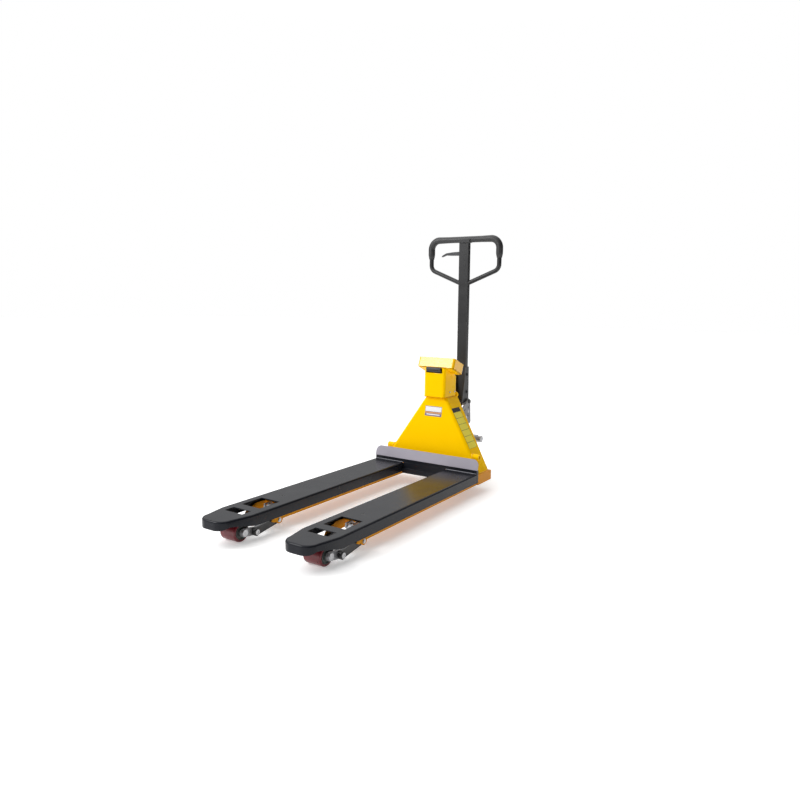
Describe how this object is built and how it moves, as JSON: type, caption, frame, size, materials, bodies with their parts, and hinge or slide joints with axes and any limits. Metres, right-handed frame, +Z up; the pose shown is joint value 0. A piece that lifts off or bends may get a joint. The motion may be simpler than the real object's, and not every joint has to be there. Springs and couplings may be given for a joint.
{
  "type": "pallet scale truck",
  "caption": "Hand pallet truck with weighing forks, tilted weight indicator on a tower, hydraulic pump and steering handle.",
  "frame": {"origin": "centre of the footprint on the floor", "axes": "+Z up, +Y from the fork tips to the handle, X across the forks"},
  "size_m": [0.566, 1.556, 1.2185],
  "materials": {
    "yellow_paint": "gloss",
    "fork_paint": "gloss",
    "plate_paint": "satin",
    "handle_paint": "satin",
    "steel": "satin",
    "chrome": "polished",
    "cast": "cast",
    "pump_paint": "satin",
    "plastic_dark": "matte",
    "plastic_grey": "satin",
    "grip_rubber": "matte",
    "roller_red": "satin",
    "tyre_black": "matte",
    "hub": "cast",
    "roller_core": "matte",
    "window": "clear",
    "lcd": "matte",
    "board": "satin",
    "cell": "satin"
  },
  "bodies": {
    "chassis": {"tower_shell": "yellow_paint", "tower_base": "yellow_paint", "rail_left": "yellow_paint", "rail_right": "yellow_paint", "ram_seat": "yellow_paint", "rocker_shaft": "handle_paint", "arm_pivot_pins": "steel", "ram": "chrome", "fork_left": "fork_paint", "fork_right": "fork_paint", "heel_crossbeam": "fork_paint", "backrest_plate": "plate_paint", "load_cells": "cell", "load_cell_screws": "handle_paint", "neck_post": "yellow_paint", "neck_screws": "steel", "battery_pack": "plastic_dark", "indicator_case": "yellow_paint", "indicator_base": "yellow_paint", "display_window": "window", "lcd_panel": "lcd", "circuit_board": "board", "keypad_panel": "plastic_dark"},
    "battery_latch": {"battery_latch": "plastic_dark"},
    "key_1": {"key_1": "plastic_grey"},
    "key_2": {"key_2": "plastic_grey"},
    "key_3": {"key_3": "plastic_grey"},
    "key_4": {"key_4": "plastic_grey"},
    "lift_block": {"bearing_seat": "cast", "thrust_bearing": "steel"},
    "rocker": {"rocker": "yellow_paint"},
    "push_rods": {"push_rods": "steel"},
    "roller_arms": {"roller_arms": "handle_paint", "roller_carriers": "cast", "roller_axles": "steel"},
    "load_roller_left": {"load_tread_left": "roller_red", "load_core_left": "roller_core"},
    "load_roller_right": {"load_tread_right": "roller_red", "load_core_right": "roller_core"},
    "pump": {"pump_housing": "pump_paint", "filler_plug": "steel", "release_valve": "chrome", "wheel_axle": "steel", "pivot_pin": "steel", "piston_spring": "steel"},
    "pump_piston": {"pump_piston": "chrome"},
    "steer_wheel_left": {"steer_tyre_left": "tyre_black", "steer_hub_left": "hub"},
    "steer_wheel_right": {"steer_tyre_right": "tyre_black", "steer_hub_right": "hub"},
    "handle": {"drawbar_seat": "cast", "handle_bracket": "handle_paint", "bracket_bolts": "handle_paint", "handle_shaft": "handle_paint", "handle_loop": "handle_paint", "handle_grip": "grip_rubber", "release_rod": "steel", "lever_pin": "handle_paint"},
    "press_roller": {"press_roller": "steel"},
    "release_lever": {"release_lever": "plastic_dark"}
  },
  "joints": [
    {"name": "lift", "type": "slide", "parent": "chassis", "child": "lift_block", "axis": [0, 0, -1], "range_m": [0, 0.115]},
    {"name": "rocker_pivot", "type": "hinge", "parent": "chassis", "child": "rocker", "pos_m": [0, 0.453, 0.166], "axis": [-1, 0, 0], "range_deg": [0, 52.2]},
    {"name": "push_rod_slide", "type": "slide", "parent": "chassis", "child": "push_rods", "axis": [0, -1, 0], "range_m": [0, 0.0292]},
    {"name": "roller_arm_pivot", "type": "hinge", "parent": "chassis", "child": "roller_arms", "pos_m": [0, -0.498, 0.047], "axis": [1, 0, 0], "range_deg": [0, 47]},
    {"name": "load_roller_left_spin", "type": "hinge", "parent": "roller_arms", "child": "load_roller_left", "pos_m": [-0.198, -0.66, 0.037], "axis": [1, 0, 0], "continuous": true},
    {"name": "load_roller_right_spin", "type": "hinge", "parent": "roller_arms", "child": "load_roller_right", "pos_m": [0.198, -0.66, 0.037], "axis": [1, 0, 0], "continuous": true},
    {"name": "steer", "type": "hinge", "parent": "lift_block", "child": "pump", "pos_m": [0, 0.584, 0.2], "axis": [0, 0, 1], "range_deg": [-60, 60]},
    {"name": "steer_wheel_left_spin", "type": "hinge", "parent": "pump", "child": "steer_wheel_left", "pos_m": [-0.067, 0.584, 0.09], "axis": [1, 0, 0], "continuous": true},
    {"name": "steer_wheel_right_spin", "type": "hinge", "parent": "pump", "child": "steer_wheel_right", "pos_m": [0.067, 0.584, 0.09], "axis": [1, 0, 0], "continuous": true},
    {"name": "handle_tilt", "type": "hinge", "parent": "pump", "child": "handle", "pos_m": [0, 0.714, 0.3], "axis": [-1, 0, 0], "range_deg": [0, 80], "stiffness_Nm_per_rad": 34, "springref_deg": -51.57},
    {"name": "press_roller_spin", "type": "hinge", "parent": "handle", "child": "press_roller", "pos_m": [0, 0.74946, 0.32771], "axis": [1, 0, 0], "continuous": true},
    {"name": "piston_stroke", "type": "slide", "parent": "pump", "child": "pump_piston", "axis": [0, 0, -1], "range_m": [0, 0.0595], "deforming": ["piston_spring"]},
    {"name": "release_lever_pivot", "type": "hinge", "parent": "handle", "child": "release_lever", "pos_m": [0.008, 0.72914, 1.13156], "axis": [0, 0.9997, 0.0227], "range_deg": [-10, 12], "stiffness_Nm_per_rad": 6},
    {"name": "battery_latch_hinge", "type": "hinge", "parent": "chassis", "child": "battery_latch", "pos_m": [0, 0.452, 0.567], "axis": [-1, 0, 0], "range_deg": [0, 60]},
    {"name": "key_1_press", "type": "slide", "parent": "chassis", "child": "key_1", "axis": [0, -0.3665, -0.9304], "range_m": [0, 0.0015], "stiffness_N_per_m": 1500, "springref_m": -0.0005},
    {"name": "key_2_press", "type": "slide", "parent": "chassis", "child": "key_2", "axis": [0, -0.3665, -0.9304], "range_m": [0, 0.0015], "stiffness_N_per_m": 1500, "springref_m": -0.0005},
    {"name": "key_3_press", "type": "slide", "parent": "chassis", "child": "key_3", "axis": [0, -0.3665, -0.9304], "range_m": [0, 0.0015], "stiffness_N_per_m": 1500, "springref_m": -0.0005},
    {"name": "key_4_press", "type": "slide", "parent": "chassis", "child": "key_4", "axis": [0, -0.3665, -0.9304], "range_m": [0, 0.0015], "stiffness_N_per_m": 1500, "springref_m": -0.0005}
  ],
  "couplings": [
    {"joint": "rocker_pivot", "follows": "lift", "rad_per_m": 7.8919},
    {"joint": "push_rod_slide", "follows": "lift", "ratio": 0.2513},
    {"joint": "roller_arm_pivot", "follows": "lift", "rad_per_m": 7.1088},
    {"joint": "piston_stroke", "follows": "handle_tilt", "m_per_rad": 0.0423}
  ]
}
